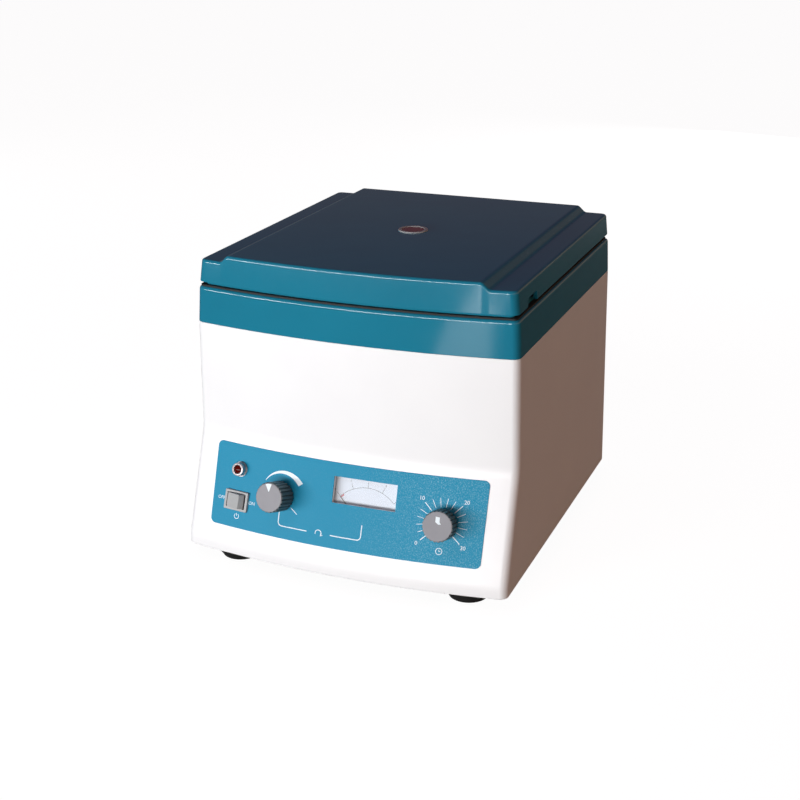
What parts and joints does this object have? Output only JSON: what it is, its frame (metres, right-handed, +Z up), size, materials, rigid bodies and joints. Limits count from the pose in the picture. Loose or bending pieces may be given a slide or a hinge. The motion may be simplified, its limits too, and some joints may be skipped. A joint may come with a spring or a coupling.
{
  "type": "cytocentrifuge",
  "caption": "Small bench cytocentrifuge: flared housing with a control panel, rear-hinged lid with a sight port, and a rotor whose tipping carriers hold slides and funnels.",
  "frame": {"origin": "on the bench, under the middle of the object's box", "axes": "+Z up, -Y to the front panel, +X to the right as seen from the front"},
  "size_m": [0.27, 0.3163, 0.2474],
  "materials": {
    "white_abs": "moulded, satin",
    "teal_abs": "moulded, glossy",
    "grey_abs": "moulded, matt",
    "teal_panel": "printed, satin",
    "black_rubber": "moulded",
    "grey_rubber": "moulded",
    "bright_steel": "zinc plated",
    "zinc_steel": "pressed and zinc plated",
    "stainless": "deep drawn, polished",
    "cast_aluminium": "turned",
    "motor_paint": "enamelled",
    "copper_winding": "enamelled wire",
    "chrome_plate": "plated",
    "red_lens": "moulded, glossy",
    "pale_plastic": "moulded, satin",
    "dark_plastic": "moulded",
    "black_plastic": "moulded",
    "clear_plastic": "polished",
    "dial_card": "printed",
    "board_green": "laminate",
    "red_glass": "polished",
    "red_plastic": "moulded",
    "slide_glass": "polished",
    "white_card": "pressed paper",
    "funnel_plastic": "moulded"
  },
  "bodies": {
    "housing": {"base_plate": "zinc_steel", "body_shell": "white_abs", "top_cover": "teal_abs", "front_panel": "teal_panel", "rubber_feet": "black_rubber", "housing_screws": "bright_steel", "spin_bowl": "stainless", "bowl_seal": "grey_rubber", "hinge_leaves_body": "bright_steel", "hinge_pins": "bright_steel", "motor_case": "motor_paint", "motor_end_caps": "cast_aluminium", "motor_bearings": "bright_steel", "field_coils": "copper_winding", "motor_bracket": "zinc_steel", "vibration_mounts": "black_rubber", "lamp_bezel": "chrome_plate", "lamp_lens": "red_lens", "switch_frame": "pale_plastic", "speed_control": "zinc_steel", "timer_body": "zinc_steel", "control_nuts": "bright_steel", "meter_case": "black_plastic", "meter_window": "clear_plastic", "meter_dial": "dial_card", "meter_movement": "black_plastic", "power_inlet": "black_plastic", "fuse_holder": "black_plastic", "control_board": "board_green"},
    "lid": {"lid_shell": "teal_abs", "lid_liner": "grey_abs", "sight_ring": "pale_plastic", "sight_glass": "red_glass", "hinge_leaves_lid": "bright_steel"},
    "rotor": {"motor_shaft": "bright_steel", "armature": "copper_winding", "rotor_plate": "cast_aluminium", "rotor_knob": "red_plastic"},
    "rocker": {"switch_rocker": "pale_plastic"},
    "speed_dial": {"speed_knob": "dark_plastic", "speed_spindle": "bright_steel"},
    "timer_dial": {"timer_knob": "dark_plastic", "timer_spindle": "bright_steel"},
    "needle": {"meter_needle": "black_plastic"},
    "carrier_1": {"slide_clip_1": "stainless", "glass_slide_1": "slide_glass", "filter_card_1": "white_card", "sample_funnel_1": "funnel_plastic"},
    "carrier_2": {"slide_clip_2": "stainless", "glass_slide_2": "slide_glass", "filter_card_2": "white_card", "sample_funnel_2": "funnel_plastic"},
    "carrier_3": {"slide_clip_3": "stainless", "glass_slide_3": "slide_glass", "filter_card_3": "white_card", "sample_funnel_3": "funnel_plastic"},
    "carrier_4": {"slide_clip_4": "stainless", "glass_slide_4": "slide_glass", "filter_card_4": "white_card", "sample_funnel_4": "funnel_plastic"}
  },
  "joints": [
    {"name": "lid_hinge", "type": "hinge", "parent": "housing", "child": "lid", "pos_m": [0, 0.15477, 0.22182], "axis": [-1, 0, 0], "range_deg": [0, 95]},
    {"name": "rotor_spin", "type": "hinge", "parent": "housing", "child": "rotor", "pos_m": [0, 0.01477, 0.1122], "axis": [0, 0, 1], "continuous": true},
    {"name": "carrier_tilt_1", "type": "hinge", "parent": "rotor", "child": "carrier_1", "pos_m": [0.05657, 0.07134, 0.1442], "axis": [-0.7071, 0.7071, 0], "range_deg": [0, 15]},
    {"name": "carrier_tilt_2", "type": "hinge", "parent": "rotor", "child": "carrier_2", "pos_m": [-0.05657, 0.07134, 0.1442], "axis": [-0.7071, -0.7071, 0], "range_deg": [0, 15]},
    {"name": "carrier_tilt_3", "type": "hinge", "parent": "rotor", "child": "carrier_3", "pos_m": [-0.05657, -0.04179, 0.1442], "axis": [0.7071, -0.7071, 0], "range_deg": [0, 15]},
    {"name": "carrier_tilt_4", "type": "hinge", "parent": "rotor", "child": "carrier_4", "pos_m": [0.05657, -0.04179, 0.1442], "axis": [0.7071, 0.7071, 0], "range_deg": [0, 15]},
    {"name": "speed_turn", "type": "hinge", "parent": "housing", "child": "speed_dial", "pos_m": [-0.0519, -0.1359, 0.0644], "axis": [-0.0673, -0.9454, 0.3189], "range_deg": [-133, 125]},
    {"name": "timer_turn", "type": "hinge", "parent": "housing", "child": "timer_dial", "pos_m": [0.0815, -0.13383, 0.0625], "axis": [0.1057, -0.9422, 0.3179], "range_deg": [-133, 133]},
    {"name": "rocker_press", "type": "hinge", "parent": "housing", "child": "rocker", "pos_m": [-0.09104, -0.13671, 0.05438], "axis": [0.0395, 0.315, 0.9483], "range_deg": [0, 26]},
    {"name": "needle_swing", "type": "hinge", "parent": "housing", "child": "needle", "pos_m": [0.01842, -0.14209, 0.05083], "axis": [0.0236, -0.9473, 0.3196], "range_deg": [-90, 0]}
  ]
}
